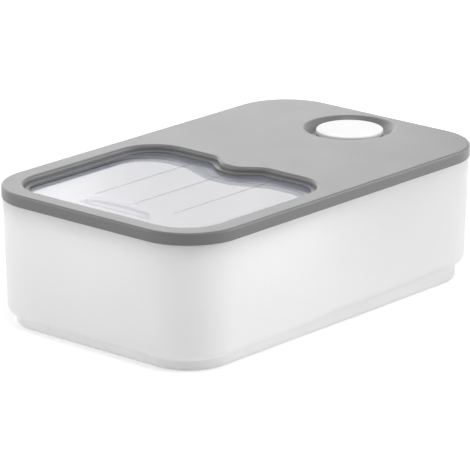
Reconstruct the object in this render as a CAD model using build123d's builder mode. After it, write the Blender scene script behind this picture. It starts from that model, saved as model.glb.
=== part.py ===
from build123d import *
import os
from math import cos, hypot, radians, sin, tan

# A low rice bin. A white drafted body stands on an inset foot. Its grey lid has a sunk opening with a
# clear hatch that slides back under the rear half, and an absorber canister with a round knob.
# Millimetres, +Z up, origin at the middle of the foot's underside. The length runs along Y, and the
# hatch end is at -Y.

# ---- driving dimensions ----------------------------------------------------------------------------

# whole bin
LENGTH = 360.0
WIDTH = 224.0
HEIGHT = 111.0
CORNER_RADIUS = 47.0  # outer corner of the lid, seen from above

# lid cover
COVER_THICKNESS = 2.4
SKIRT_DEPTH = 9.5  # from the lid's top down to the skirt's edge
SKIRT_THICKNESS = 2.2
COVER_EDGE_FILLET = 1.8

# opening in the lid cover, with a bump of the lid in the middle of its rear edge
OPENING_SIDE_MARGIN = 17.5  # to the lid's edge
OPENING_FRONT_MARGIN = 15.7
OPENING_LENGTH = 164.8
OPENING_FRONT_RADIUS = 32.0
OPENING_REAR_RADIUS = 31.0
OPENING_EDGE_FILLET = 2.6
OPENING_WALL = 2.2
BUMP_HALF_ROOT = 25.0
BUMP_HALF_TIP = 8.0
BUMP_DEPTH = 13.0
BUMP_RADIUS = 15.0
FLANGE_WIDTH = 4.0
FLANGE_TOP_DEPTH = 4.0  # below the lid's top
FLANGE_THICKNESS = 1.7

# bin body
BODY_INSET = 0.8  # from the lid's outline, at the skirt's edge
BODY_WALL = 2.4
BODY_DRAFT = 1.67  # degrees
BODY_LOWER_FILLET = 7.0
FOOT_INSET = 10.2  # from the lid's outline
FOOT_HEIGHT_FRONT = 8.3
FOOT_HEIGHT_REAR = 14.7
FOOT_LOWER_FILLET = 3.2
FLOOR_THICKNESS = 2.4
FLOOR_FILLET = 3.0
BASE_RECESS_DEPTH = 0.8
BASE_RING_WIDTH = 9.0
RIM_RISE = 5.3  # neck inside the skirt
SKIRT_GAP = 0.3  # the skirt's edge above the body's shoulder
NECK_GAP = 0.4  # neck to skirt, and neck to inner frame

# inner frame
FRAME_WALL = 1.8
LEDGE_THICKNESS = 1.9
THROAT_INSET = 4.0  # from the opening's sides and front
THROAT_REAR_INSET = 14.0
THROAT_RADIUS = 28.0
THROAT_BUMP_DEPTH = 13.0
THROAT_BUMP_HALF_ROOT = 44.0
THROAT_BUMP_HALF_TIP = 12.0
CHANNEL_WALL = 1.8
CHANNEL_TO_DISH = 3.0  # rear end of the hatch's channel to the dish's edge

# sliding hatch
HATCH_THICKNESS = 2.0
HATCH_LIFT = 0.4  # above the ledge
HATCH_SIDE_GAP = 0.4
HATCH_TOP_GAP = 0.3  # ribs to the flange
HATCH_OVERLAP = 7.5  # past the throat's sides and front
HATCH_REAR_OVERLAP = 18.5
HATCH_REAR_RADIUS = 12.0
RIB_COUNT = 3
RIB_SPACING = 40.0
RIB_WIDTH = 1.2
RIB_HEIGHT = 0.3
RIB_LENGTH = 125.5
RIB_REAR_MARGIN = 1.5

# finger grip on the hatch
GRIP_FRONT_MARGIN = 15.8  # from the throat's front
GRIP_DEPTH = 12.5
GRIP_HALF_WIDTH = 36.0
GRIP_SHOULDER_HALF_WIDTH = 27.0  # where the rear edge turns down to the front corners
GRIP_REAR_BOW = 3.0
GRIP_SHOULDER_RADIUS = 6.0
GRIP_FRONT_RISE = 1.0
GRIP_REAR_RISE = 3.9
GRIP_WALL = 1.9
GRIP_POCKET = 0.7
GRIP_TOP_FILLET = 0.4

# canister, its knob and the finger dish
CUP_RADIUS = 21.8
CUP_WALL = 1.6
CUP_DEPTH = 40.0  # below the dish's floor
CUP_EDGE_FILLET = 1.2
CUP_FLANGE_WIDTH = 3.4
CUP_FLANGE_THICKNESS = 1.3
CUP_HOLE_GAP = 1.2
SLOT_COUNT = 16
SLOT_WIDTH = 2.4
SLOT_HEIGHT = 22.0
SLOT_BASE_RISE = 6.0
VENT_RADIUS = 1.4
COLLAR_WALL = 1.8
COLLAR_DEPTH = 7.0
KNOB_SINK = 1.0  # knob top below the lid's top
KNOB_THICKNESS = 3.6
KNOB_SKIRT = 1.4
KNOB_EDGE_FILLET = 1.1
CAP_GAP = 0.3  # inside the knob, above and beside the cup's flange
PLUG_GAP = 0.3
PLUG_WALL = 1.4
PLUG_DEPTH = 8.0
LUG_COUNT = 3
LUG_SPREAD = 10.0  # degrees
LUG_HEIGHT = 2.0
LUG_REACH = 1.0
LUG_SIDE_GAP = 1.5  # degrees
TWIST = 35.0  # degrees
ABSORBER_GAP = 0.5
ABSORBER_HEIGHT = 18.0
ABSORBER_CHAMFER = 1.0
DISH_DEPTH = 6.4
DISH_GAP = 3.0  # knob to the dish's floor edge
DISH_SLOPE_RUN = 6.4
DISH_EDGE_FILLET = 3.0
DISH_REAR_MARGIN = 8.4  # to the lid's rear edge
SOCKET_WALL = 2.0
SOCKET_FOOT_WIDTH = 5.0  # flange that stands on the inner frame
SOCKET_FOOT_THICKNESS = 1.8
SOCKET_HOLE_GAP = 1.0  # hole in the inner frame, inside the foot

# soft rings
SEAL_GAP = 0.3
HATCH_SEAL_WIDTH = 2.0
HATCH_SEAL_DEPTH = 1.0
HATCH_SEAL_OFFSET = 3.2  # from the throat's edge
CUP_SEAL_THICKNESS = 1.1
CUP_SEAL_EASE = 0.1

# small edge roundings, and how near a face or an edge must be to count as the one meant
SOFT_EDGE = 0.5
NEAR = 0.001

# ---- levels and places that follow from them -------------------------------------------------------

cover_underside = HEIGHT - COVER_THICKNESS
skirt_edge = HEIGHT - SKIRT_DEPTH
shoulder = skirt_edge - SKIRT_GAP
rim_top = shoulder + RIM_RISE
neck_inset = SKIRT_THICKNESS + NECK_GAP
neck_inner_inset = neck_inset + BODY_WALL
frame_inset = neck_inner_inset + NECK_GAP

# opening, throat and hatch, from the lid's front edge backwards
opening_half_width = WIDTH / 2 - OPENING_SIDE_MARGIN
opening_front = -LENGTH / 2 + OPENING_FRONT_MARGIN
opening_rear = opening_front + OPENING_LENGTH
throat_half_width = opening_half_width - THROAT_INSET
throat_front = opening_front + THROAT_INSET
throat_rear = opening_rear - THROAT_REAR_INSET
hatch_half_width = throat_half_width + HATCH_OVERLAP
hatch_front = throat_front - HATCH_OVERLAP
hatch_rear = throat_rear + HATCH_REAR_OVERLAP
hatch_front_radius = THROAT_RADIUS + HATCH_OVERLAP
grip_front = throat_front + GRIP_FRONT_MARGIN
grip_rear = grip_front + GRIP_DEPTH

# levels of the flange, the hatch under it and the ledge under that
flange_top = HEIGHT - FLANGE_TOP_DEPTH
flange_underside = flange_top - FLANGE_THICKNESS
hatch_top = flange_underside - HATCH_TOP_GAP - RIB_HEIGHT
hatch_base = hatch_top - HATCH_THICKNESS
ledge_top = hatch_base - HATCH_LIFT
ledge_underside = ledge_top - LEDGE_THICKNESS

# cup, knob and dish, from the cup outwards
cup_bore = CUP_RADIUS - CUP_WALL
cup_flange_radius = CUP_RADIUS + CUP_FLANGE_WIDTH
knob_hollow_radius = cup_flange_radius + 2 * CAP_GAP
knob_radius = knob_hollow_radius + KNOB_SKIRT
dish_floor_radius = knob_radius + DISH_GAP
dish_radius = dish_floor_radius + DISH_SLOPE_RUN
dish_hole_radius = CUP_RADIUS + CUP_HOLE_GAP
knob_y = LENGTH / 2 - DISH_REAR_MARGIN - dish_radius
knob_axis = Axis((0, knob_y, 0), (0, 0, 1))

# levels of the cup, the knob and the bayonet
dish_floor = HEIGHT - DISH_DEPTH
knob_top = HEIGHT - KNOB_SINK
knob_underside = knob_top - KNOB_THICKNESS
cup_seal_base = dish_floor + SEAL_GAP
flange_base = cup_seal_base + CUP_SEAL_THICKNESS
cup_top = flange_base + CUP_FLANGE_THICKNESS
cup_base = dish_floor - CUP_DEPTH
cup_floor = cup_base + CUP_WALL
knob_hollow_top = cup_top + CAP_GAP
plug_radius = cup_bore - PLUG_GAP
plug_base = knob_hollow_top - PLUG_DEPTH
lug_base = plug_base + SEAL_GAP
lug_inner = plug_radius - PLUG_WALL / 2
lug_outer = plug_radius + LUG_REACH
lug_margin = LUG_SPREAD / 2 + LUG_SIDE_GAP
lug_angles = [index * 360 / LUG_COUNT for index in range(LUG_COUNT)]
window_inner = cup_bore - CUP_WALL / 2
window_outer = CUP_RADIUS + CUP_SEAL_EASE

# channel that the hatch slides in, up to its rear stop
channel_half_width = hatch_half_width + HATCH_SIDE_GAP
channel_front = hatch_front - HATCH_SIDE_GAP
channel_rear = knob_y - dish_radius - CHANNEL_TO_DISH
hatch_travel = channel_rear - HATCH_SIDE_GAP - hatch_rear

foot_slope = (FOOT_HEIGHT_REAR - FOOT_HEIGHT_FRONT) / LENGTH
foot_height_middle = (FOOT_HEIGHT_REAR + FOOT_HEIGHT_FRONT) / 2
draft_per_mm = tan(radians(BODY_DRAFT))


def inset_outline(inset):
    """The lid's outline, drawn in by inset."""
    RectangleRounded(WIDTH - 2 * inset, LENGTH - 2 * inset, CORNER_RADIUS - inset)


def opening_outline(half_width, front, rear, front_radius, rear_radius, bump, grow=0.0):
    """A rounded window with a bump in the middle of its rear edge, grown outwards by grow.

    The bump is its depth and its half widths at the root and at the tip.
    """
    depth, half_root, half_tip = bump
    tip = rear - depth
    with BuildLine() as outline:
        FilletPolyline(
            (-half_width, front),
            (half_width, front),
            (half_width, rear),
            (half_root, rear),
            (half_tip, tip),
            (-half_tip, tip),
            (-half_root, rear),
            (-half_width, rear),
            radius=[front_radius] * 2 + [rear_radius] + [BUMP_RADIUS] * 4 + [rear_radius],
            close=True,
        )
    make_face(outline.edges())
    if grow:
        offset(amount=grow)


def lid_opening(grow=0.0):
    """The opening in the lid cover."""
    opening_outline(
        opening_half_width,
        opening_front,
        opening_rear,
        OPENING_FRONT_RADIUS,
        OPENING_REAR_RADIUS,
        (BUMP_DEPTH, BUMP_HALF_ROOT, BUMP_HALF_TIP),
        grow,
    )


def throat_opening(grow=0.0):
    """The opening in the inner frame's ledge."""
    opening_outline(
        throat_half_width,
        throat_front,
        throat_rear,
        THROAT_RADIUS,
        THROAT_RADIUS,
        (THROAT_BUMP_DEPTH, THROAT_BUMP_HALF_ROOT, THROAT_BUMP_HALF_TIP),
        grow,
    )


def slide_outline(half_width, front, rear, front_radius, rear_radius):
    """A rectangle with its own radius at the front and at the rear corners."""
    with BuildLine() as outline:
        FilletPolyline(
            (-half_width, front),
            (half_width, front),
            (half_width, rear),
            (-half_width, rear),
            radius=[front_radius, front_radius, rear_radius, rear_radius],
            close=True,
        )
    make_face(outline.edges())


def level_face(block, level):
    """The largest flat face of a block at a level."""
    flat_faces = block.faces().filter_by(Plane.XY)
    at_level = flat_faces.filter_by(lambda face: abs(face.center().Z - level) < NEAR)
    return at_level.sort_by(SortBy.AREA)[-1]


def round_edges(block, radius):
    """The round edges of a block that have this radius."""
    return block.edges().filter_by(
        lambda edge: edge.geom_type == GeomType.CIRCLE and abs(edge.radius - radius) < NEAR
    )


def finish(piece, name):
    """Name a finished piece and write it out."""
    piece.label = name
    export_step(piece, f"parts/{name}.step")


os.makedirs("parts", exist_ok=True)

# ---- bin body --------------------------------------------------------------------------------------

# the line where the body meets the foot climbs towards the rear
foot_plane = Plane(
    origin=(0, 0, foot_height_middle),
    x_dir=(1, 0, 0),
    z_dir=(0, -foot_slope, 1),
)


def drafted_block(inset, top, sole, lower_fillet):
    """A drafted block under the level top, cut off below by the plane sole, with a rounded lower edge."""
    with BuildPart() as block:
        with BuildSketch(Plane.XY.offset(top)):
            inset_outline(inset + (shoulder - top) * draft_per_mm)
        extrude(amount=-top, taper=BODY_DRAFT)
        split(bisect_by=sole, keep=Keep.TOP)
        fillet(block.faces().sort_by(Axis.Z)[0].edges(), lower_fillet)
    return block.part


body_cavity = drafted_block(
    BODY_INSET + BODY_WALL,
    shoulder - BODY_WALL - RIM_RISE,
    foot_plane.offset(BODY_WALL),
    BODY_LOWER_FILLET - BODY_WALL,
)
cavity_top_face = body_cavity.faces().sort_by(Axis.Z)[-1]
cavity_top = cavity_top_face.center().Z
cavity_top_inset = WIDTH / 2 - cavity_top_face.bounding_box().max.X

with BuildPart() as bin_body:
    add(drafted_block(BODY_INSET, shoulder, foot_plane, BODY_LOWER_FILLET))
    # neck inside the lid's skirt
    with BuildSketch(Plane.XY.offset(shoulder - BODY_WALL)):
        inset_outline(neck_inset)
    extrude(amount=BODY_WALL + RIM_RISE)
    # foot
    with BuildSketch():
        inset_outline(FOOT_INSET)
    extrude(amount=FOOT_HEIGHT_REAR + BODY_WALL)
    fillet(bin_body.faces().sort_by(Axis.Z)[0].edges(), FOOT_LOWER_FILLET)
    # hollow of the body, then the slope up to the neck, then the neck
    add(body_cavity, mode=Mode.SUBTRACT)
    with BuildSketch(Plane.XY.offset(cavity_top)):
        inset_outline(cavity_top_inset)
    with BuildSketch(Plane.XY.offset(shoulder - BODY_WALL)):
        inset_outline(neck_inner_inset)
    loft(ruled=True, mode=Mode.SUBTRACT)
    with BuildSketch(Plane.XY.offset(shoulder - BODY_WALL)):
        inset_outline(neck_inner_inset)
    extrude(amount=BODY_WALL + RIM_RISE, mode=Mode.SUBTRACT)
    # hollow of the foot, with a rounded floor edge
    with BuildPart(mode=Mode.PRIVATE) as foot_cavity:
        with BuildSketch(Plane.XY.offset(FLOOR_THICKNESS + BASE_RECESS_DEPTH)):
            inset_outline(FOOT_INSET + BODY_WALL)
        extrude(amount=FOOT_HEIGHT_REAR + 2 * BODY_WALL)
        fillet(foot_cavity.faces().sort_by(Axis.Z)[0].edges(), FLOOR_FILLET)
    add(foot_cavity.part, mode=Mode.SUBTRACT)
    # shallow recess that leaves a ring to stand on
    with BuildSketch():
        inset_outline(FOOT_INSET + FOOT_LOWER_FILLET + BASE_RING_WIDTH)
    extrude(amount=BASE_RECESS_DEPTH, mode=Mode.SUBTRACT)
    # soft edges on the rim and the shoulder
    fillet(bin_body.faces().sort_by(Axis.Z)[-1].edges(), SOFT_EDGE)
    fillet(level_face(bin_body, shoulder).outer_wire().edges(), SOFT_EDGE)
finish(bin_body.part, "bin_body")

# ---- lid cover -------------------------------------------------------------------------------------


def dish_radius_at(level):
    """Radius of the dish's sloping wall at a level."""
    return dish_floor_radius + DISH_SLOPE_RUN * (level - dish_floor) / DISH_DEPTH


socket_wall_reach = SOCKET_WALL * hypot(DISH_SLOPE_RUN, DISH_DEPTH) / DISH_DEPTH
socket_foot_top = ledge_top + SOCKET_FOOT_THICKNESS
socket_foot_radius = dish_radius_at(ledge_top) + socket_wall_reach + SOCKET_FOOT_WIDTH
socket_hole_radius = socket_foot_radius - SOCKET_FOOT_WIDTH + SOCKET_HOLE_GAP

with BuildPart() as lid_cover:
    with BuildSketch(Plane.XY.offset(skirt_edge)):
        inset_outline(0)
    extrude(amount=SKIRT_DEPTH)
    fillet(lid_cover.faces().sort_by(Axis.Z)[-1].edges(), COVER_EDGE_FILLET)
    # hollow inside the skirt
    with BuildSketch(Plane.XY.offset(skirt_edge)):
        inset_outline(SKIRT_THICKNESS)
    extrude(amount=cover_underside - skirt_edge, mode=Mode.SUBTRACT)
    # wall down the opening's edge, and the flange at its foot
    with BuildSketch(Plane.XY.offset(flange_underside)):
        lid_opening(OPENING_WALL)
    extrude(amount=HEIGHT - flange_underside - COVER_THICKNESS / 2)
    with BuildSketch(Plane.XY.offset(flange_top)):
        lid_opening()
    extrude(amount=FLANGE_TOP_DEPTH, mode=Mode.SUBTRACT)
    with BuildSketch(Plane.XY.offset(flange_underside)):
        lid_opening(-FLANGE_WIDTH)
    extrude(amount=FLANGE_THICKNESS, mode=Mode.SUBTRACT)
    opening_rim = lid_cover.faces().filter_by(Plane.XY).sort_by(Axis.Z)[-1].inner_wires()[0].edges()
    fillet(opening_rim, OPENING_EDGE_FILLET)
    # soft inner edge of the flange
    fillet(level_face(lid_cover, flange_top).inner_wires()[0].edges(), SOFT_EDGE)
    # upper part of the finger dish round the knob
    with BuildSketch(Plane.YZ):
        with BuildLine():
            Polyline(
                (knob_y, cover_underside),
                (knob_y + dish_radius_at(cover_underside), cover_underside),
                (knob_y + dish_radius, HEIGHT),
                (knob_y, HEIGHT),
                close=True,
            )
        make_face()
    revolve(axis=knob_axis, mode=Mode.SUBTRACT)
    fillet(round_edges(lid_cover, dish_radius), DISH_EDGE_FILLET)
    # soft lower edge of the skirt
    fillet(lid_cover.faces().sort_by(Axis.Z)[0].outer_wire().edges(), SOFT_EDGE)
finish(lid_cover.part, "lid_cover")

# ---- canister socket -------------------------------------------------------------------------------

with BuildPart() as canister_socket:
    # collar, foot on the inner frame, and the dish's wall up to the cover
    with BuildSketch(Plane.YZ):
        with BuildLine():
            Polyline(
                (knob_y + dish_hole_radius, ledge_underside - COLLAR_DEPTH),
                (knob_y + dish_hole_radius + COLLAR_WALL, ledge_underside - COLLAR_DEPTH),
                (knob_y + dish_hole_radius + COLLAR_WALL, ledge_top),
                (knob_y + socket_foot_radius, ledge_top),
                (knob_y + socket_foot_radius, socket_foot_top),
                (knob_y + dish_radius_at(socket_foot_top) + socket_wall_reach, socket_foot_top),
                (knob_y + dish_radius_at(cover_underside) + socket_wall_reach, cover_underside),
                (knob_y + dish_radius_at(cover_underside), cover_underside),
                (knob_y + dish_floor_radius, dish_floor),
                (knob_y + dish_hole_radius, dish_floor),
                close=True,
            )
        make_face()
    revolve(axis=knob_axis)
    fillet(round_edges(canister_socket, dish_floor_radius), DISH_EDGE_FILLET)
    fillet(canister_socket.faces().sort_by(Axis.Z)[0].edges(), SOFT_EDGE)
finish(canister_socket.part, "canister_socket")

# ---- lid inner frame -------------------------------------------------------------------------------

with BuildPart() as lid_inner_frame:
    # ledge plate with an edge wall up to the cover
    with BuildSketch(Plane.XY.offset(ledge_underside)):
        inset_outline(frame_inset)
    extrude(amount=cover_underside - ledge_underside)
    with BuildSketch(Plane.XY.offset(ledge_top)):
        inset_outline(frame_inset + FRAME_WALL)
    extrude(amount=cover_underside - ledge_top, mode=Mode.SUBTRACT)
    # channel that guides the hatch
    with BuildSketch(Plane.XY.offset(ledge_top)):
        slide_outline(
            channel_half_width + CHANNEL_WALL,
            channel_front - CHANNEL_WALL,
            channel_rear + CHANNEL_WALL,
            hatch_front_radius + HATCH_SIDE_GAP + CHANNEL_WALL,
            HATCH_REAR_RADIUS + HATCH_SIDE_GAP + CHANNEL_WALL,
        )
        with BuildSketch(mode=Mode.PRIVATE) as channel_room:
            slide_outline(
                channel_half_width,
                channel_front,
                channel_rear,
                hatch_front_radius + HATCH_SIDE_GAP,
                HATCH_REAR_RADIUS + HATCH_SIDE_GAP,
            )
        add(channel_room.sketch, mode=Mode.SUBTRACT)
    extrude(amount=cover_underside - ledge_top)
    # hole under the canister's socket
    with BuildSketch(Plane.XY.offset(ledge_underside)):
        with Locations((0, knob_y)):
            Circle(socket_hole_radius)
    extrude(amount=LEDGE_THICKNESS, mode=Mode.SUBTRACT)
    # throat, with soft edges
    with BuildSketch(Plane.XY.offset(ledge_underside)):
        throat_opening()
    extrude(amount=LEDGE_THICKNESS, mode=Mode.SUBTRACT)
    throat_edges = lid_inner_frame.edges(Select.LAST).filter_by(Plane.XY)
    fillet(throat_edges, SOFT_EDGE)
    # groove for the soft ring under the hatch
    with BuildSketch(Plane.XY.offset(ledge_top - HATCH_SEAL_DEPTH)):
        throat_opening(HATCH_SEAL_OFFSET + HATCH_SEAL_WIDTH)
        with BuildSketch(mode=Mode.PRIVATE) as groove_island:
            throat_opening(HATCH_SEAL_OFFSET)
        add(groove_island.sketch, mode=Mode.SUBTRACT)
    extrude(amount=HATCH_SEAL_DEPTH, mode=Mode.SUBTRACT)
finish(lid_inner_frame.part, "lid_inner_frame")

# ---- soft rings of the lid -------------------------------------------------------------------------

with BuildPart() as lid_seal:
    with BuildSketch(Plane.XY.offset(rim_top + SEAL_GAP)):
        inset_outline(SKIRT_THICKNESS)
        RectangleRounded(
            WIDTH - 2 * frame_inset,
            LENGTH - 2 * frame_inset,
            CORNER_RADIUS - frame_inset,
            mode=Mode.SUBTRACT,
        )
    extrude(amount=cover_underside - rim_top - SEAL_GAP)
finish(lid_seal.part, "lid_seal")

with BuildPart() as hatch_seal:
    with BuildSketch(Plane.XY.offset(ledge_top - HATCH_SEAL_DEPTH)):
        throat_opening(HATCH_SEAL_OFFSET + HATCH_SEAL_WIDTH)
        with BuildSketch(mode=Mode.PRIVATE) as seal_island:
            throat_opening(HATCH_SEAL_OFFSET)
        add(seal_island.sketch, mode=Mode.SUBTRACT)
    extrude(amount=HATCH_SEAL_DEPTH + HATCH_LIFT - SEAL_GAP)
finish(hatch_seal.part, "hatch_seal")

# ---- sliding hatch ---------------------------------------------------------------------------------


def grip_outline(shrink=0.0):
    """The grip's D: a straight front, rounded shoulders and a bowed rear, drawn in by shrink."""
    shoulder_y = grip_rear - GRIP_REAR_BOW
    with BuildSketch(mode=Mode.PRIVATE) as grip_shape:
        with BuildLine() as outline:
            front_line = Line((-GRIP_HALF_WIDTH, grip_front), (GRIP_HALF_WIDTH, grip_front))
            right_side = Line(front_line @ 1, (GRIP_SHOULDER_HALF_WIDTH, shoulder_y))
            left_side = Line(front_line @ 0, (-GRIP_SHOULDER_HALF_WIDTH, shoulder_y))
            ThreePointArc(right_side @ 1, (0, grip_rear), left_side @ 1)
        make_face(outline.edges())
        fillet(grip_shape.vertices().sort_by(Axis.Y)[2:], GRIP_SHOULDER_RADIUS)
        if shrink:
            offset(amount=-shrink)
    add(grip_shape.sketch)


with BuildPart() as hatch_panel:
    with BuildSketch(Plane.XY.offset(hatch_base)):
        slide_outline(
            hatch_half_width, hatch_front, hatch_rear, hatch_front_radius, HATCH_REAR_RADIUS
        )
    extrude(amount=HATCH_THICKNESS)
    # three ribs along the way it slides
    with BuildSketch(Plane.XY.offset(hatch_top)):
        with Locations((0, hatch_rear - RIB_REAR_MARGIN - RIB_LENGTH / 2)):
            with GridLocations(RIB_SPACING, 1, RIB_COUNT, 1):
                SlotOverall(RIB_LENGTH, RIB_WIDTH, rotation=90)
    extrude(amount=RIB_HEIGHT)
    # grip: a wall round a shallow pocket, low in front and high at the rear, with a soft top edge
    with BuildPart(mode=Mode.PRIVATE) as grip:
        with BuildSketch(Plane.XY.offset(hatch_top)):
            grip_outline()
        extrude(amount=GRIP_REAR_RISE)
        with BuildSketch(Plane.YZ.offset(-GRIP_HALF_WIDTH)):
            with BuildLine():
                low = (grip_front, hatch_top + GRIP_FRONT_RISE)
                high = (grip_rear, hatch_top + GRIP_REAR_RISE)
                TangentArc(high, low, tangent=(-1, 0))
                Polyline(low, (grip_front, hatch_top), (grip_rear, hatch_top), high)
            make_face()
        extrude(amount=2 * GRIP_HALF_WIDTH, mode=Mode.INTERSECT)
        fillet(grip.faces().sort_by(Axis.Z)[-1].edges(), GRIP_TOP_FILLET)
    add(grip.part)
    with BuildSketch(Plane.XY.offset(hatch_top - GRIP_POCKET)):
        grip_outline(GRIP_WALL)
    extrude(amount=GRIP_POCKET + GRIP_REAR_RISE, mode=Mode.SUBTRACT)
finish(hatch_panel.part, "hatch_panel")

# ---- canister: cup, soft ring, absorber and knob ---------------------------------------------------


def cylinder(radius, base, top, mode=Mode.ADD):
    """A round block on the knob's axis, from base to top."""
    with Locations((0, knob_y, base)):
        Cylinder(radius, top - base, align=(Align.CENTER, Align.CENTER, Align.MIN), mode=mode)


def ring_sector(inner, outer, start, spread):
    """A sector of a ring on the knob's axis, for use in a sketch."""
    with BuildLine() as outline:
        near = CenterArc((0, knob_y), inner, start, spread)
        far = CenterArc((0, knob_y), outer, start, spread)
        Line(near @ 0, far @ 0)
        Line(near @ 1, far @ 1)
    make_face(outline.edges())


with BuildPart() as canister_cup:
    cylinder(CUP_RADIUS, cup_base, cup_top)
    fillet(canister_cup.edges().sort_by(Axis.Z)[0], CUP_EDGE_FILLET)
    cylinder(cup_flange_radius, flange_base, cup_top)
    cylinder(cup_bore, cup_floor, cup_top, Mode.SUBTRACT)
    # slots up the wall and holes in the floor let the air through
    slot_middle = cup_base + SLOT_BASE_RISE + SLOT_HEIGHT / 2
    for index in range(SLOT_COUNT):
        turn = index * 360 / SLOT_COUNT
        outward = (cos(radians(turn)), sin(radians(turn)), 0)
        with BuildSketch(Plane(origin=(0, knob_y, slot_middle), x_dir=(0, 0, 1), z_dir=outward)):
            SlotOverall(SLOT_HEIGHT, SLOT_WIDTH)
        extrude(amount=CUP_RADIUS + CUP_WALL, mode=Mode.SUBTRACT)
    with BuildSketch(Plane.XY.offset(cup_base)):
        with Locations((0, knob_y)):
            for count, ring_radius in ((6, cup_bore / 3), (12, cup_bore * 2 / 3)):
                with PolarLocations(ring_radius, count):
                    Circle(VENT_RADIUS)
    extrude(amount=CUP_WALL, mode=Mode.SUBTRACT)
    # bayonet: a window that each lug turns in, and the way down to it
    for angle in lug_angles:
        with BuildSketch(Plane.XY.offset(lug_base - SEAL_GAP)):
            ring_sector(window_inner, window_outer, angle - lug_margin, TWIST + 2 * lug_margin)
        extrude(amount=LUG_HEIGHT + 2 * SEAL_GAP, mode=Mode.SUBTRACT)
        with BuildSketch(Plane.XY.offset(lug_base)):
            ring_sector(window_inner, window_outer, angle + TWIST - lug_margin, 2 * lug_margin)
        extrude(amount=cup_top - lug_base, mode=Mode.SUBTRACT)
finish(canister_cup.part, "canister_cup")

with BuildPart() as canister_seal:
    cylinder(cup_flange_radius, cup_seal_base, flange_base)
    cylinder(CUP_RADIUS + CUP_SEAL_EASE, cup_seal_base, flange_base, Mode.SUBTRACT)
finish(canister_seal.part, "canister_seal")

with BuildPart() as absorber_puck:
    cylinder(cup_bore - ABSORBER_GAP, cup_floor, cup_floor + ABSORBER_HEIGHT)
    chamfer(absorber_puck.edges(), ABSORBER_CHAMFER)
finish(absorber_puck.part, "absorber_puck")

with BuildPart() as canister_cap:
    cylinder(knob_radius, knob_underside, knob_top)
    fillet(canister_cap.edges().sort_by(Axis.Z)[-1], KNOB_EDGE_FILLET)
    cylinder(knob_hollow_radius, knob_underside, knob_hollow_top, Mode.SUBTRACT)
    fillet(canister_cap.faces().sort_by(Axis.Z)[0].outer_wire().edges(), SOFT_EDGE)
    # plug with its lugs
    cylinder(plug_radius, plug_base, knob_hollow_top)
    for angle in lug_angles:
        with BuildSketch(Plane.XY.offset(lug_base)):
            ring_sector(lug_inner, lug_outer, angle - LUG_SPREAD / 2, LUG_SPREAD)
        extrude(amount=LUG_HEIGHT)
    cylinder(plug_radius - PLUG_WALL, plug_base, knob_hollow_top, Mode.SUBTRACT)
finish(canister_cap.part, "canister_cap")
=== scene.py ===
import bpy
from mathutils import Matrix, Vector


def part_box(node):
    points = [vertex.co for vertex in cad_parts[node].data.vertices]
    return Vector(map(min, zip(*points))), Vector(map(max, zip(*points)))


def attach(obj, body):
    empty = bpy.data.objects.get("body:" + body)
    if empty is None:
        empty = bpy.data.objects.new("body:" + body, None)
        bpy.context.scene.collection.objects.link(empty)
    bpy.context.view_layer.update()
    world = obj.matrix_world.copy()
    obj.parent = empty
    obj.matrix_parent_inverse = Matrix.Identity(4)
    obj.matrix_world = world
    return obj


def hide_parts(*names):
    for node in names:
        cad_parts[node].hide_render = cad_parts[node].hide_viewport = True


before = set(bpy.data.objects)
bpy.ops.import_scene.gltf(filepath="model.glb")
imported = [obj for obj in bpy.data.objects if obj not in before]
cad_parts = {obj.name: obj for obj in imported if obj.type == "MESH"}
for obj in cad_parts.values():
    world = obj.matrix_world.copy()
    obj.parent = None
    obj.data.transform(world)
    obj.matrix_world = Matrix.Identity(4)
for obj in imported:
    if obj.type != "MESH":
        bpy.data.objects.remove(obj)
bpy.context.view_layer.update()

from math import cos, pi, radians, sin

import bpy
from mathutils import Vector

bl_info = {
    "name": "Rice Bin",
    "version": (1, 0, 0),
    "blender": (4, 5, 0),
    "location": "3D View > Sidebar > Rice Bin",
    "description": "Finishes a low rice bin with a grey lid, a clear sliding hatch and a round knob",
    "category": "Object",
}

# the soft rings and the outlines that they follow, in metres
LID_RING_WIDTH = 0.0032
LID_RING_CORNER = 0.0448
HATCH_RING_WIDTH = 0.002
HATCH_RING_OFFSET = 0.0032  # from the throat's edge
CANISTER_RING_WIDTH = 0.0033
CIRCLE_STEPS = 128
RING_SLACK = 0.00002
THROAT_CORNER = 0.028
BUMP_HALF_ROOT = 0.044
BUMP_HALF_TIP = 0.012
BUMP_DEPTH = 0.013
BUMP_CORNER = 0.015
# flat steps round each corner of a ring, and round each edge of its section
CORNER_STEPS = 24
EDGE_STEPS = 3

# noise: patches per metre, and the range that most of its values lie in
NOISE_LOW = 0.3
NOISE_HIGH = 0.7
CLOUD_SCALE = 9.0
PATCH_SCALE = 26.0
WAVE_SCALE = 14.0
BIN_GRAIN_SCALE = 900.0
LID_GRAIN_SCALE = 1100.0
FRAME_GRAIN_SCALE = 800.0
KNOB_GRAIN_SCALE = 700.0

# heights of bumps, in metres, and the share of the waves' height that shows
WAVE_HEIGHT = 0.0006
WAVE_STRENGTH = 0.12
KNOB_GRAIN_DEPTH = 0.00002

# how much a plastic's colour and roughness vary from place to place, to either side
CLOUDING = 0.03
WHITE_CLOUDING = 0.012
LID_CLOUDING = 0.02
PATCHINESS = 0.055
LID_PATCHINESS = 0.015

PLASTIC_IOR = 1.46
# the inner frame is matt, and the knob less glossy than plain plastic
FRAME_IOR = 1.25
FRAME_ROUGHNESS = 0.755
KNOB_IOR = 1.38
CANISTER_ROUGHNESS = 0.455

# the soft rings' rubber
RUBBER_IOR = 1.42
RUBBER_SHEEN = 0.15
RUBBER_CLOUD_SCALE = 30.0
RUBBER_DARKEST = 0.94  # beside its own colour
RUBBER_LIGHTEST = 1.04
POWDER_SCALE = 2600.0
POWDER_HEIGHT = 0.00004
POWDER_SMOOTHEST = 0.55  # roughness
POWDER_ROUGHEST = 0.72

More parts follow.
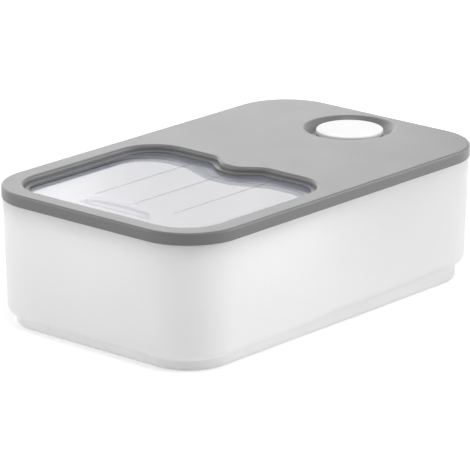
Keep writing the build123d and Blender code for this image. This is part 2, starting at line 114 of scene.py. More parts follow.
# the absorber's granules
GRANULE_SCALE = 620.0
GRANULE_HEIGHT = 0.0006
GRANULE_EDGE = 0.7  # distance from a granule's middle, in granules
# painted shade: colour in the gaps between granules, and at each granule's middle, beside its own
# colour
GRANULE_DARKEST = 0.55
GRANULE_LIGHTEST = 1.1
GRANULE_SMOOTHEST = 0.68
GRANULE_ROUGHEST = 0.9

# the clear hatch: its moulded edges, marks, mirroring and haze
HATCH_EDGE_RADIUS = 0.0007
HATCH_EDGE_SAMPLES = 8
# painted shade: the share of the hatch's tint left where one looks through a rounded edge
HATCH_EDGE_SHADE = 0.86
HATCH_EDGE_STARTS = 0.995  # cosine of the turn between the rounded and the flat face
HATCH_EDGE_ENDS = 0.86
HATCH_SCUFF_SCALE = 60.0
HATCH_SCUFF_STRETCH = (1.0, 0.12, 1.0)
HATCH_SCUFF_HEIGHT = 0.000015
HATCH_SCUFF_STARTS = 0.35  # the noise's values that scuffs start and end at
HATCH_SCUFF_ENDS = 0.75
HATCH_SMOOTHEST = 0.09  # roughness
HATCH_ROUGHEST = 0.2
HATCH_RIPPLE_SCALE = 18.0
HATCH_RIPPLE_HEIGHT = 0.0004
HATCH_HAZE_SCALE = 12.0
HATCH_HAZE_VARIES = 0.15
HATCH_HAZE_ROUGHNESS = 0.6
HATCH_HAZE_DARKEST = 0.97
HATCH_MIRROR_LEAST = 0.035  # the share that it mirrors, seen square on
HATCH_MIRROR_GAIN = 0.4  # added to that, seen edge on
HATCH_MIRROR_POWER = 5.0

# floor, camera and lamps
FLOOR_REACH = 6.0
# light added to the floor only where it is seen: little by the bin, which keeps the bin's shadow,
# and more further out, where the floor ends in plain white
FLOOR_GLOW_NEAR = 0.3
FLOOR_GLOW_FAR = 0.8
FLOOR_GLOW_STARTS = 0.35
FLOOR_GLOW_ENDS = 1.4
SENSOR_WIDTH = 36.0
CAMERA_REACH = 50.0
WHITE = (1, 1, 1, 1)
LAMP_TARGET = Vector((0, 0, 0.05))
# soft lamps: place, width and height in metres, and how bright the face is beside plain white
LAMPS = (
    ("lamp_top", (0.42, -0.35, 1.85), (0.8, 0.8), 5.2),
    ("lamp_left", (-1.5, -1.5, 0.7), (1.4, 1.4), 2.45),
    ("lamp_right", (1.6, 1.5, 0.8), (1.6, 1.6), 3.7),
    ("lamp_back", (-1.86, 0.9, 0.75), (2.5, 1.3), 1.47),
)


# ---- settings ----------------------------------------------------------------------------------


def colour(label, text, default):
    """A colour that a user may change."""
    return bpy.props.FloatVectorProperty(
        name=label, description=text, default=default, subtype="COLOR", size=3, min=0, max=1
    )


def share(label, text, default):
    """A value from 0 to 1 that a user may change."""
    return bpy.props.FloatProperty(
        name=label, description=text, default=default, subtype="FACTOR", min=0, max=1
    )


def length(label, text, default):
    """A length in metres that a user may change."""
    return bpy.props.FloatProperty(
        name=label, description=text, default=default, subtype="DISTANCE", unit="LENGTH"
    )


class RiceBinFinish(bpy.types.PropertyGroup):
    """Colours and surface values of the bin's plastics"""

    bin_colour: colour("Bin", "White of the bin body", (0.95, 0.95, 0.952))
    lid_colour: colour("Lid", "Grey of the lid cover and the socket", (0.178, 0.178, 0.181))
    frame_colour: colour("Inner frame", "Grey of the lid's inner frame", (0.18, 0.19, 0.21))
    seal_colour: colour("Soft rings", "Grey of the soft rings", (0.19, 0.195, 0.21))
    hatch_colour: colour("Hatch", "Tint of the clear hatch", (0.988, 0.988, 1.0))
    knob_colour: colour("Knob", "White of the knob", (0.9, 0.9, 0.9))
    cup_colour: colour("Cup", "White of the canister's cup", (0.82, 0.82, 0.82))
    absorber_colour: colour("Absorber", "Colour of the absorber's granules", (0.6, 0.585, 0.54))
    bin_roughness: share("Bin roughness", "Roughness of the bin body", 0.425)
    hatch_haze: share("Hatch haze", "How milky the clear hatch is", 0.035)
    bin_translucency: share("Bin translucency", "Light that passes into the bin's wall", 0.485)
    frame_through_colour: colour(
        "Through the frame", "Tint of the light that passes into the inner frame", (0.88, 0.9, 0.95)
    )
    frame_translucency: share("Frame translucency", "Light that passes into the inner frame", 0.58)
    lid_roughness: share("Lid roughness", "Roughness of the lid cover", 0.365)
    grain_depth: length("Grain depth", "Height of the moulded grain", 0.00006)


class RiceBinStage(bpy.types.PropertyGroup):
    """Camera, floor and lamps"""

    azimuth: bpy.props.FloatProperty(
        name="Azimuth", description="Camera's turn from the hatch end towards +X",
        default=radians(41.09), subtype="ANGLE", unit="ROTATION",
    )
    elevation: bpy.props.FloatProperty(
        name="Elevation", description="Camera's height above the horizon",
        default=radians(16.83), subtype="ANGLE", unit="ROTATION",
    )
    distance: length("Distance", "Camera to the bin", 3.0803)
    lens: bpy.props.FloatProperty(
        name="Lens", description="Focal length on a 36 mm sensor", default=300.26, min=1.0
    )
    aim_height: length("Aim height", "Height of the point that the camera is set up about", 0.07)
    aim_right: length("Aim right", "Aim moved along the picture's right", -0.0037)
    aim_up: length("Aim up", "Aim moved along the picture's up", -0.0178)
    ambient: share("Ambient", "Light from all round", 0.35)
    floor_colour: colour("Floor", "Colour of the floor", (0.92, 0.92, 0.92))


# ---- materials ---------------------------------------------------------------------------------


class Nodes:
    """A small helper that adds and links the nodes of one material or world."""

    def __init__(self, owner, output_kind="ShaderNodeOutputMaterial"):
        self.owner = owner
        owner.use_nodes = True
        self.tree = owner.node_tree
        self.tree.nodes.clear()
        self.output = self.add(output_kind)

    def place(self):
        """The point on the piece."""
        return self.add("ShaderNodeTexCoord").outputs["Object"]

    def add(self, kind, **values):
        node = self.tree.nodes.new(kind)
        for key, value in values.items():
            setattr(node, key, value)
        return node

    def link(self, source, target):
        self.tree.links.new(source, target)

    def noise(self, scale, detail=3.0, roughness=0.5, stretch=None):
        """Noise over the piece, scale in patches per metre."""
        node = self.add("ShaderNodeTexNoise")
        node.inputs["Scale"].default_value = scale
        node.inputs["Detail"].default_value = detail
        node.inputs["Roughness"].default_value = roughness
        source = self.place()
        if stretch:
            mapping = self.add("ShaderNodeMapping")
            mapping.inputs["Scale"].default_value = stretch
            self.link(source, mapping.inputs["Vector"])
            source = mapping.outputs["Vector"]
        self.link(source, node.inputs["Vector"])
        return node.outputs["Fac"]

    def ramp(self, source, low, high, first, last):
        """A value from first to last as source goes from low to high."""
        node = self.add("ShaderNodeMapRange")
        node.inputs["From Min"].default_value = low
        node.inputs["From Max"].default_value = high
        node.inputs["To Min"].default_value = first
        node.inputs["To Max"].default_value = last
        self.link(source, node.inputs["Value"])
        return node.outputs["Result"]

    def spread(self, noise, first, last):
        """A value from first to last over most of the range of a noise."""
        return self.ramp(noise, NOISE_LOW, NOISE_HIGH, first, last)

    def tint(self, source, first, last):
        """A colour from first to last as source goes from 0 to 1."""
        node = self.add("ShaderNodeMix", data_type="RGBA")
        node.inputs["A"].default_value = (*first, 1)
        node.inputs["B"].default_value = (*last, 1)
        self.link(source, node.inputs["Factor"])
        return node.outputs["Result"]

    def bump(self, source, height, strength=1.0, below=None):
        """A bump of a height in metres, over another bump."""
        node = self.add("ShaderNodeBump")
        node.inputs["Strength"].default_value = strength
        node.inputs["Distance"].default_value = height
        self.link(source, node.inputs["Height"])
        if below:
            self.link(below, node.inputs["Normal"])
        return node.outputs["Normal"]

    def math(self, operation, *values):
        """A sum of one kind over sockets and numbers."""
        node = self.add("ShaderNodeMath", operation=operation)
        for slot, value in zip(node.inputs, values):
            if isinstance(value, (int, float)):
                slot.default_value = value
            else:
                self.link(value, slot)
        return node.outputs["Value"]

    def mix_shader(self, share, first, second):
        """Two shaders mixed, the second by share."""
        node = self.add("ShaderNodeMixShader")
        if isinstance(share, float):
            node.inputs["Fac"].default_value = share
        else:
            self.link(share, node.inputs["Fac"])
        self.link(first, node.inputs[1])
        self.link(second, node.inputs[2])
        return node.outputs["Shader"]


def scaled(rgb, factor):
    """A colour made lighter or darker."""
    return tuple(min(1.0, channel * factor) for channel in rgb)


def moulded_plastic(
    name, rgb, roughness, grain, grain_scale, ior=PLASTIC_IOR, clouding=CLOUDING,
    patchiness=PATCHINESS, translucent=0.0, through_rgb=None,
):
    """Moulded plastic: slight clouding, fine grain, and a roughness that varies in patches."""
    nodes = Nodes(bpy.data.materials.new(name))
    shader = nodes.add("ShaderNodeBsdfPrincipled")
    shader.inputs["IOR"].default_value = ior
    # slow clouding from the moulding
    cloud = nodes.spread(nodes.noise(CLOUD_SCALE, detail=4.0, roughness=0.55), 0.0, 1.0)
    clouded = nodes.tint(cloud, scaled(rgb, 1 - clouding), scaled(rgb, 1 + clouding))
    nodes.link(clouded, shader.inputs["Base Color"])
    # handled patches are a little smoother
    patch = nodes.noise(PATCH_SCALE, detail=5.0, roughness=0.6)
    nodes.link(
        nodes.spread(patch, roughness - patchiness, roughness + patchiness),
        shader.inputs["Roughness"],
    )
    # fine grain over a faint waviness
    waves = nodes.bump(nodes.noise(WAVE_SCALE, detail=2.0), WAVE_HEIGHT, strength=WAVE_STRENGTH)
    fine = nodes.noise(grain_scale, detail=2.5, roughness=0.6)
    nodes.link(nodes.bump(fine, grain, below=waves), shader.inputs["Normal"])
    surface = shader.outputs["BSDF"]
    if translucent:
        # a thin wall lets part of the light through, which lights what is behind it
        through = nodes.add("ShaderNodeBsdfTranslucent")
        if through_rgb is None:
            nodes.link(clouded, through.inputs["Color"])
        else:
            through.inputs["Color"].default_value = (*through_rgb, 1)
        surface = nodes.mix_shader(translucent, surface, through.outputs["BSDF"])
    nodes.link(surface, nodes.output.inputs["Surface"])
    return nodes.owner


def clear_plastic(name, rgb, haze):
    """Clear plastic: it lets most light through, mirrors more at a low angle, and is a bit milky."""
    nodes = Nodes(bpy.data.materials.new(name))
    scuffs = nodes.noise(HATCH_SCUFF_SCALE, detail=6.0, roughness=0.65, stretch=HATCH_SCUFF_STRETCH)
    ripple = nodes.bump(
        nodes.noise(HATCH_RIPPLE_SCALE, detail=2.0), HATCH_RIPPLE_HEIGHT, strength=WAVE_STRENGTH
    )
    # moulded edges: a small round that catches the light, and painted shade in what passes through
    # it, for the light that a rounded clear edge bends away
    edge_turn = nodes.add("ShaderNodeBevel", samples=HATCH_EDGE_SAMPLES)
    edge_turn.inputs["Radius"].default_value = HATCH_EDGE_RADIUS
    flat = nodes.add("ShaderNodeNewGeometry")
    turn = nodes.add("ShaderNodeVectorMath", operation="DOT_PRODUCT")
    nodes.link(edge_turn.outputs["Normal"], turn.inputs[0])
    nodes.link(flat.outputs["Normal"], turn.inputs[1])
    edge_shade_mask = nodes.ramp(turn.outputs["Value"], HATCH_EDGE_STARTS, HATCH_EDGE_ENDS, 0.0, 1.0)
    rounded = nodes.add("ShaderNodeBevel", samples=HATCH_EDGE_SAMPLES)
    rounded.inputs["Radius"].default_value = HATCH_EDGE_RADIUS
    nodes.link(ripple, rounded.inputs["Normal"])
    surface = nodes.bump(scuffs, HATCH_SCUFF_HEIGHT, below=rounded.outputs["Normal"])
    # what passes straight through
    clear = nodes.add("ShaderNodeBsdfTransparent")
    # painted shade: the tint darker at the rounded edges and ribs
    nodes.link(nodes.tint(edge_shade_mask, rgb, scaled(rgb, HATCH_EDGE_SHADE)), clear.inputs["Color"])
    # what the outer face mirrors, little seen square on and more edge on
    mirror = nodes.add("ShaderNodeBsdfAnisotropic")
    scuffed = nodes.ramp(
        scuffs, HATCH_SCUFF_STARTS, HATCH_SCUFF_ENDS, HATCH_SMOOTHEST, HATCH_ROUGHEST
    )
    nodes.link(scuffed, mirror.inputs["Roughness"])
    nodes.link(surface, mirror.inputs["Normal"])
    facing = nodes.add("ShaderNodeLayerWeight")
    facing.inputs["Blend"].default_value = 0.5
    nodes.link(surface, facing.inputs["Normal"])
    steep = nodes.math("POWER", facing.outputs["Facing"], HATCH_MIRROR_POWER)
    mirrored = nodes.math("MULTIPLY_ADD", steep, HATCH_MIRROR_GAIN, HATCH_MIRROR_LEAST)
    outer = nodes.math("SUBTRACT", 1.0, flat.outputs["Backfacing"])
    mirrored = nodes.math("MULTIPLY", mirrored, outer)
    glassy = nodes.mix_shader(mirrored, clear.outputs["BSDF"], mirror.outputs["BSDF"])
    # a little haze in the plastic
    milk = nodes.add("ShaderNodeBsdfPrincipled")
    milk.inputs["Specular IOR Level"].default_value = 0.0
    milk.inputs["Roughness"].default_value = HATCH_HAZE_ROUGHNESS
    cloud = nodes.spread(nodes.noise(HATCH_HAZE_SCALE, detail=4.0, roughness=0.6), 0.0, 1.0)
    nodes.link(nodes.tint(cloud, scaled(rgb, HATCH_HAZE_DARKEST), rgb), milk.inputs["Base Color"])
    haze_share = nodes.ramp(
        cloud, 0.0, 1.0, haze * (1 - HATCH_HAZE_VARIES), haze * (1 + HATCH_HAZE_VARIES)
    )
    milky = nodes.math("MULTIPLY", haze_share, outer)
    whole = nodes.mix_shader(milky, glassy, milk.outputs["BSDF"])
    # lamps shine through to what is underneath
    lamp_light = nodes.add("ShaderNodeBsdfTransparent")
    lamp_ray = nodes.add("ShaderNodeLightPath").outputs["Is Shadow Ray"]
    lit = nodes.mix_shader(lamp_ray, whole, lamp_light.outputs["BSDF"])
    nodes.link(lit, nodes.output.inputs["Surface"])
    return nodes.owner


def soft_rubber(name, rgb):
    """Soft ring: matt, with a powdery grain."""
    nodes = Nodes(bpy.data.materials.new(name))
    shader = nodes.add("ShaderNodeBsdfPrincipled")
    shader.inputs["IOR"].default_value = RUBBER_IOR
    shader.inputs["Sheen Weight"].default_value = RUBBER_SHEEN
    shader.inputs["Sheen Roughness"].default_value = 0.5
    nodes.link(shader.outputs["BSDF"], nodes.output.inputs["Surface"])
    cloud = nodes.spread(nodes.noise(RUBBER_CLOUD_SCALE, detail=4.0), 0.0, 1.0)
    clouded = nodes.tint(cloud, scaled(rgb, RUBBER_DARKEST), scaled(rgb, RUBBER_LIGHTEST))
    nodes.link(clouded, shader.inputs["Base Color"])
    powder = nodes.noise(POWDER_SCALE, detail=2.0)
    nodes.link(
        nodes.spread(powder, POWDER_SMOOTHEST, POWDER_ROUGHEST), shader.inputs["Roughness"]
    )
    nodes.link(nodes.bump(powder, POWDER_HEIGHT), shader.inputs["Normal"])
    return nodes.owner


def pressed_granules(name, rgb):
    """Absorber block: small pressed granules, with painted shade in the gaps between them and a
    lighter middle on each.
    """
    nodes = Nodes(bpy.data.materials.new(name))
    shader = nodes.add("ShaderNodeBsdfPrincipled")
    nodes.link(shader.outputs["BSDF"], nodes.output.inputs["Surface"])
    cells = nodes.add("ShaderNodeTexVoronoi", feature="F1")
    cells.inputs["Scale"].default_value = GRANULE_SCALE
    nodes.link(nodes.place(), cells.inputs["Vector"])
    rise = nodes.ramp(cells.outputs["Distance"], 0.0, GRANULE_EDGE, 1.0, 0.0)
    # painted shade: darker in the gaps between granules, lighter at each granule's middle
    gap_shaded = nodes.tint(rise, scaled(rgb, GRANULE_DARKEST), scaled(rgb, GRANULE_LIGHTEST))
    nodes.link(gap_shaded, shader.inputs["Base Color"])
    nodes.link(
        nodes.ramp(rise, 0.0, 1.0, GRANULE_ROUGHEST, GRANULE_SMOOTHEST), shader.inputs["Roughness"]
    )
    nodes.link(nodes.bump(rise, GRANULE_HEIGHT), shader.inputs["Normal"])
    return nodes.owner


def dress(node, material):
    """Give a CAD node its material."""
    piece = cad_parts[node]
    piece.data.materials.clear()
    piece.data.materials.append(material)


def finish_settings():
    """The colours and surface values that the operators use."""
    return bpy.context.scene.rice_bin_finish


# ---- operators ---------------------------------------------------------------------------------


class RICEBIN_OT_body(bpy.types.Operator):
    """Finish the white bin body"""

    bl_idname = "ricebin.body"
    bl_label = "Bin Body"

    def execute(self, context):
        settings = finish_settings()
        bin_white = moulded_plastic(
            "bin_white", settings.bin_colour, settings.bin_roughness, settings.grain_depth,
            BIN_GRAIN_SCALE, clouding=WHITE_CLOUDING, translucent=settings.bin_translucency,
        )
        dress("bin_body", bin_white)
        return {"FINISHED"}


class RICEBIN_OT_lid(bpy.types.Operator):
    """Finish the grey lid cover, the canister's socket and the inner frame"""

    bl_idname = "ricebin.lid"
    bl_label = "Lid"

    def execute(self, context):
        settings = finish_settings()
        lid_grey = moulded_plastic(
            "lid_grey", settings.lid_colour, settings.lid_roughness, settings.grain_depth,
            LID_GRAIN_SCALE, clouding=LID_CLOUDING, patchiness=LID_PATCHINESS,
        )
        dress("lid_cover", lid_grey)
        dress("canister_socket", lid_grey)
        frame_grey = moulded_plastic(
            "frame_grey", settings.frame_colour, FRAME_ROUGHNESS, settings.grain_depth,
            FRAME_GRAIN_SCALE, ior=FRAME_IOR, translucent=settings.frame_translucency,
            through_rgb=settings.frame_through_colour,
        )
        dress("lid_inner_frame", frame_grey)
        return {"FINISHED"}


class RICEBIN_OT_hatch(bpy.types.Operator):
    """Finish the clear sliding hatch"""

    bl_idname = "ricebin.hatch"
    bl_label = "Hatch"

    def execute(self, context):
        settings = finish_settings()
        hatch_clear = clear_plastic("hatch_clear", settings.hatch_colour, settings.hatch_haze)
        dress("hatch_panel", hatch_clear)
        return {"FINISHED"}


# A lipped ring's section, across and up, each from -1 to 1: a block with two soft lips on top.
LIPPED_SECTION = (
    (-1.0, -1.0), (1.0, -1.0), (1.0, 0.1), (0.78, 1.0), (0.52, 1.0), (0.3, 0.2),
    (-0.3, 0.2), (-0.52, 1.0), (-0.78, 1.0), (-1.0, 0.1),
)


def closed_loop(name, points, radii=None):
    """A closed line of vertices, each with the radius that its corner is rounded to."""
    mesh = bpy.data.meshes.new(name)
    count = len(points)
    mesh.from_pydata(points, [(index, (index + 1) % count) for index in range(count)], [])
    corner = mesh.attributes.new("corner", "FLOAT", "POINT")
    corner.data.foreach_set("value", radii or [0.0] * count)
    loop = bpy.data.objects.new(name, mesh)
    bpy.context.scene.collection.objects.link(loop)
    return loop


def grown(corners, amount):
    """The corners of an anticlockwise outline moved out by amount, with their radii."""
    moved = []
    for index, (point, radius) in enumerate(corners):
        before = (point - corners[index - 1][0]).normalized()
        after = (corners[(index + 1) % len(corners)][0] - point).normalized()
        out_before = Vector((before.y, -before.x))
        out_after = Vector((after.y, -after.x))
        shift = (out_before + out_after) * (amount / (1 + out_before.dot(out_after)))
        turns_out = before.x * after.y > before.y * after.x
        moved.append((point + shift, radius + (amount if turns_out else -amount)))
    return moved


def lipped_ring_tree():
    """Geometry nodes that sweep a section round a path with rounded corners."""
    tree = bpy.data.node_groups.new("lipped_ring", "GeometryNodeTree")
    face = tree.interface
    face.new_socket("Path", in_out="INPUT", socket_type="NodeSocketGeometry")
    face.new_socket("Section", in_out="INPUT", socket_type="NodeSocketObject")
    for label, default in (("Width", 0.003), ("Height", 0.0015), ("Edge Radius", 0.0001)):
        size = face.new_socket(label, in_out="INPUT", socket_type="NodeSocketFloat")
        size.subtype = "DISTANCE"
        size.default_value = default
    steps = face.new_socket("Corner Steps", in_out="INPUT", socket_type="NodeSocketInt")
    steps.default_value = CORNER_STEPS
    face.new_socket("Material", in_out="INPUT", socket_type="NodeSocketMaterial")
    face.new_socket("Ring", in_out="OUTPUT", socket_type="NodeSocketGeometry")

    def add(kind, **values):
        node = tree.nodes.new(kind)
        for key, value in values.items():
            setattr(node, key, value)
        return node

    def link(source, target):
        tree.links.new(source, target)

    given = add("NodeGroupInput").outputs
    result = add("NodeGroupOutput").inputs["Ring"]

    # path: the loop's corners rounded to their own radii
    path = add("GeometryNodeMeshToCurve")
    link(given["Path"], path.inputs["Mesh"])
    corner = add("GeometryNodeInputNamedAttribute", data_type="FLOAT")
    corner.inputs["Name"].default_value = "corner"
    rounded = add("GeometryNodeFilletCurve", mode="POLY")
    link(path.outputs["Curve"], rounded.inputs["Curve"])
    link(given["Corner Steps"], rounded.inputs["Count"])
    link(corner.outputs["Attribute"], rounded.inputs["Radius"])
    level = add("GeometryNodeSetCurveNormal", mode="Z_UP")
    link(rounded.outputs["Curve"], level.inputs["Curve"])

    # section: scaled to the ring's width and height, with its edges softened
    section_object = add("GeometryNodeObjectInfo", transform_space="ORIGINAL")
    link(given["Section"], section_object.inputs["Object"])
    section = add("GeometryNodeMeshToCurve")
    link(section_object.outputs["Geometry"], section.inputs["Mesh"])
    halves = add("ShaderNodeVectorMath", operation="SCALE")
    halves.inputs["Scale"].default_value = 0.5
    size = add("ShaderNodeCombineXYZ")
    link(given["Width"], size.inputs["X"])
    link(given["Height"], size.inputs["Y"])
    link(size.outputs["Vector"], halves.inputs[0])
    scaled_section = add("GeometryNodeTransform")
    link(section.outputs["Curve"], scaled_section.inputs["Geometry"])
    link(halves.outputs["Vector"], scaled_section.inputs["Scale"])
    softened = add("GeometryNodeFilletCurve", mode="POLY")
    softened.inputs["Count"].default_value = EDGE_STEPS
    softened.inputs["Limit Radius"].default_value = True
    link(scaled_section.outputs["Geometry"], softened.inputs["Curve"])
    link(given["Edge Radius"], softened.inputs["Radius"])

    swept = add("GeometryNodeCurveToMesh")
    link(level.outputs["Curve"], swept.inputs["Curve"])
    link(softened.outputs["Curve"], swept.inputs["Profile Curve"])
    smooth = add("GeometryNodeSetShadeSmooth")
    link(swept.outputs["Mesh"], smooth.inputs["Geometry"])
    realized = add("GeometryNodeRealizeInstances")
    link(smooth.outputs["Geometry"], realized.inputs["Geometry"])
    painted = add("GeometryNodeSetMaterial")
    link(realized.outputs["Geometry"], painted.inputs["Geometry"])
    link(given["Material"], painted.inputs["Material"])
    link(painted.outputs["Geometry"], result)
    return tree


def signed_volume(mesh):
    """Volume of a closed mesh, below 0 if its faces point inwards."""
    mesh.calc_loop_triangles()
    points = [vertex.co for vertex in mesh.vertices]
    return sum(
        points[a].dot(points[b].cross(points[c])) / 6
        for a, b, c in (triangle.vertices for triangle in mesh.loop_triangles)
    )


def lipped_ring(tree, node, body, corners, width, material):
    """Sweep a lipped ring in the room of a CAD ring, and let it stand for that ring."""
    low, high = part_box(node)
    height = high[2] - low[2]
    middle = (low[2] + high[2]) / 2
    points = [(*point, middle) for point, radius in corners]
    path = closed_loop("path", points, [radius for point, radius in corners])
    section = closed_loop("section", [(across, up, 0) for across, up in LIPPED_SECTION])
    sweep = path.modifiers.new("lipped_ring", "NODES")
    sweep.node_group = tree
    values = {"Section": section, "Width": width, "Height": height, "Material": material}
    for item in tree.interface.items_tree:
        if item.in_out == "INPUT" and item.name in values:
            sweep[item.identifier] = values[item.name]
    graph = bpy.context.evaluated_depsgraph_get()
    mesh = bpy.data.meshes.new_from_object(path.evaluated_get(graph), depsgraph=graph)
    bpy.data.objects.remove(path)
    bpy.data.objects.remove(section)
    if signed_volume(mesh) < 0:
        mesh.flip_normals()
    ring = bpy.data.objects.new(node + "_lipped", mesh)
    bpy.context.scene.collection.objects.link(ring)
    for vertex in mesh.vertices:
        for axis in range(3):
            if not low[axis] - RING_SLACK < vertex.co[axis] < high[axis] + RING_SLACK:
                raise ValueError(f"{ring.name} leaves the room of {node}")
    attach(ring, body)
    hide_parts(node)


class RICEBIN_OT_rings(bpy.types.Operator):
    """Sweep the three soft rings, each in the room of its CAD ring"""

    bl_idname = "ricebin.rings"
    bl_label = "Soft Rings"

    def execute(self, context):
        seal_soft = soft_rubber("seal_soft", finish_settings().seal_colour)
        tree = lipped_ring_tree()
        lipped_ring(tree, "lid_seal", "lid", self.lid_path(), LID_RING_WIDTH, seal_soft)
        lipped_ring(tree, "hatch_seal", "lid", self.hatch_path(), HATCH_RING_WIDTH, seal_soft)
        lipped_ring(
            tree, "canister_seal", "canister", self.canister_path(), CANISTER_RING_WIDTH, seal_soft
        )
        return {"FINISHED"}

    def lid_path(self):
        """The lid's outline, drawn in to the middle of its ring."""
        low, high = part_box("lid_seal")
        outline = [
            (Vector((x, y)), LID_RING_CORNER)
            for x, y in (
                (low[0], low[1]), (high[0], low[1]), (high[0], high[1]), (low[0], high[1])
            )
        ]
        return grown(outline, -LID_RING_WIDTH / 2)

    def hatch_path(self):
        """The throat's outline, with the bump in its rear edge, grown to the middle of the ring."""
        low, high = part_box("hatch_seal")
        out = HATCH_RING_OFFSET + HATCH_RING_WIDTH
        half, front, rear = high[0] - out, low[1] + out, high[1] - out
        tip = rear - BUMP_DEPTH
        outline = [
            (Vector((-half, front)), THROAT_CORNER),
            (Vector((half, front)), THROAT_CORNER),
            (Vector((half, rear)), THROAT_CORNER),
            (Vector((BUMP_HALF_ROOT, rear)), BUMP_CORNER),
            (Vector((BUMP_HALF_TIP, tip)), BUMP_CORNER),
            (Vector((-BUMP_HALF_TIP, tip)), BUMP_CORNER),
            (Vector((-BUMP_HALF_ROOT, rear)), BUMP_CORNER),
            (Vector((-half, rear)), THROAT_CORNER),
        ]
        return grown(outline, HATCH_RING_OFFSET + HATCH_RING_WIDTH / 2)

    def canister_path(self):
        """A circle through the middle of the canister's ring."""
        low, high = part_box("canister_seal")
        centre = Vector(((low[0] + high[0]) / 2, (low[1] + high[1]) / 2))
        radius = (high[0] - low[0] - CANISTER_RING_WIDTH) / 2
        turns = [radians(360 * index / CIRCLE_STEPS) for index in range(CIRCLE_STEPS)]
        return [(centre + radius * Vector((cos(turn), sin(turn))), 0.0) for turn in turns]


class RICEBIN_OT_canister(bpy.types.Operator):
    """Finish the canister's knob, cup and absorber"""

    bl_idname = "ricebin.canister"
    bl_label = "Canister"

    def execute(self, context):
        settings = finish_settings()
        knob_white = moulded_plastic(
            "knob_white", settings.knob_colour, CANISTER_ROUGHNESS, KNOB_GRAIN_DEPTH,
            KNOB_GRAIN_SCALE, ior=KNOB_IOR, clouding=WHITE_CLOUDING,
        )
        cup_white = moulded_plastic(
            "cup_white", settings.cup_colour, CANISTER_ROUGHNESS, settings.grain_depth,
            BIN_GRAIN_SCALE,
        )
        dress("canister_cap", knob_white)
        dress("canister_cup", cup_white)
        dress("absorber_puck", pressed_granules("absorber_grey", settings.absorber_colour))
        return {"FINISHED"}


def softbox(name, place, size, brightness):
    """A soft lamp that faces the bin and that the camera doesn't see."""
    light = bpy.data.lights.new(name, "AREA")
    light.shape = "RECTANGLE"
    light.size, light.size_y = size
    # an area lamp's power is its face's brightness times its area and pi
    light.energy = brightness * size[0] * size[1] * pi
    lamp = bpy.data.objects.new(name, light)
    lamp.location = place
    lamp.rotation_euler = (LAMP_TARGET - lamp.location).to_track_quat("-Z", "Y").to_euler()
    lamp.visible_camera = False
    bpy.context.scene.collection.objects.link(lamp)


def background_shader(nodes, lit, seen):
    """One shader for the light that bounces off, another for what the picture and gloss show."""
    path = nodes.add("ShaderNodeLightPath").outputs
    looked_at = nodes.math("MAXIMUM", path["Is Camera Ray"], path["Is Transmission Ray"])
    looked_at = nodes.math("MAXIMUM", looked_at, path["Is Glossy Ray"])
    return nodes.mix_shader(looked_at, lit, seen)


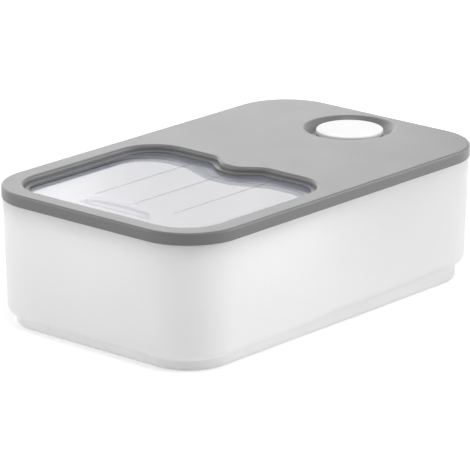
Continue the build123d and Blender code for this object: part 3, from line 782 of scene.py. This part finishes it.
class RICEBIN_OT_stage(bpy.types.Operator):
    """Add the floor, the soft light and the camera"""

    bl_idname = "ricebin.stage"
    bl_label = "Stage"

    def execute(self, context):
        stage = context.scene.rice_bin_stage
        self.add_floor(stage)
        self.add_world(stage)
        for name, place, size, brightness in LAMPS:
            softbox(name, place, size, brightness)
        self.add_camera(stage)
        context.scene.view_settings.view_transform = "Standard"
        return {"FINISHED"}

    def add_floor(self, stage):
        half = FLOOR_REACH
        mesh = bpy.data.meshes.new("floor")
        mesh.from_pydata(
            [(-half, -half, 0), (half, -half, 0), (half, half, 0), (-half, half, 0)],
            [], [(0, 1, 2, 3)],
        )
        floor = bpy.data.objects.new("floor", mesh)
        bpy.context.scene.collection.objects.link(floor)
        nodes = Nodes(bpy.data.materials.new("floor_pale"))
        lit = nodes.add("ShaderNodeBsdfDiffuse")
        lit.inputs["Color"].default_value = (*stage.floor_colour, 1)
        glow = nodes.add("ShaderNodeEmission")
        from_bin = nodes.add("ShaderNodeVectorMath", operation="LENGTH")
        nodes.link(nodes.place(), from_bin.inputs[0])
        nodes.link(
            nodes.ramp(
                from_bin.outputs["Value"], FLOOR_GLOW_STARTS, FLOOR_GLOW_ENDS,
                FLOOR_GLOW_NEAR, FLOOR_GLOW_FAR,
            ),
            glow.inputs["Strength"],
        )
        both = nodes.add("ShaderNodeAddShader")
        nodes.link(lit.outputs["BSDF"], both.inputs[0])
        nodes.link(glow.outputs["Emission"], both.inputs[1])
        nodes.link(
            background_shader(nodes, lit.outputs["BSDF"], both.outputs["Shader"]),
            nodes.output.inputs["Surface"],
        )
        mesh.materials.append(nodes.owner)

    def add_world(self, stage):
        world = bpy.data.worlds.new("studio")
        bpy.context.scene.world = world
        nodes = Nodes(world, "ShaderNodeOutputWorld")
        light, backdrop = (nodes.add("ShaderNodeBackground") for _ in range(2))
        for background, strength in ((light, stage.ambient), (backdrop, 1.0)):
            background.inputs["Color"].default_value = WHITE
            background.inputs["Strength"].default_value = strength
        nodes.link(
            background_shader(nodes, light.outputs["Background"], backdrop.outputs["Background"]),
            nodes.output.inputs["Surface"],
        )

    def add_camera(self, stage):
        data = bpy.data.cameras.new("camera")
        data.lens = stage.lens
        data.sensor_width = SENSOR_WIDTH
        data.clip_end = CAMERA_REACH
        camera = bpy.data.objects.new("camera", data)
        bpy.context.scene.collection.objects.link(camera)
        flat = cos(stage.elevation)
        away = Vector(
            (sin(stage.azimuth) * flat, -cos(stage.azimuth) * flat, sin(stage.elevation))
        )
        right = Vector((cos(stage.azimuth), sin(stage.azimuth), 0))
        up = away.cross(right)
        centre = Vector((0, 0, stage.aim_height))
        camera.location = centre + stage.distance * away
        aim = centre + stage.aim_right * right + stage.aim_up * up
        camera.rotation_euler = (aim - camera.location).to_track_quat("-Z", "Y").to_euler()
        bpy.context.scene.camera = camera


class RICEBIN_PT_panel(bpy.types.Panel):
    """Rice bin pieces and stage"""

    bl_idname = "RICEBIN_PT_panel"
    bl_label = "Rice Bin"
    bl_space_type = "VIEW_3D"
    bl_region_type = "UI"
    bl_category = "Rice Bin"

    def draw(self, context):
        column = self.layout.column()
        for operator in PIECE_OPERATORS:
            column.operator(operator.bl_idname)
        for group in (context.scene.rice_bin_finish, context.scene.rice_bin_stage):
            for name in group.__annotations__:
                column.prop(group, name)


PIECE_OPERATORS = (
    RICEBIN_OT_body,
    RICEBIN_OT_lid,
    RICEBIN_OT_hatch,
    RICEBIN_OT_rings,
    RICEBIN_OT_canister,
    RICEBIN_OT_stage,
)
CLASSES = (RiceBinFinish, RiceBinStage, *PIECE_OPERATORS, RICEBIN_PT_panel)


def register():
    for cls in CLASSES:
        bpy.utils.register_class(cls)
    bpy.types.Scene.rice_bin_finish = bpy.props.PointerProperty(type=RiceBinFinish)
    bpy.types.Scene.rice_bin_stage = bpy.props.PointerProperty(type=RiceBinStage)


def unregister():
    del bpy.types.Scene.rice_bin_finish
    del bpy.types.Scene.rice_bin_stage
    for cls in reversed(CLASSES):
        bpy.utils.unregister_class(cls)


def main():
    register()
    for operator in PIECE_OPERATORS:
        group, name = operator.bl_idname.split(".")
        getattr(getattr(bpy.ops, group), name)()


if __name__ == "__main__":
    main()
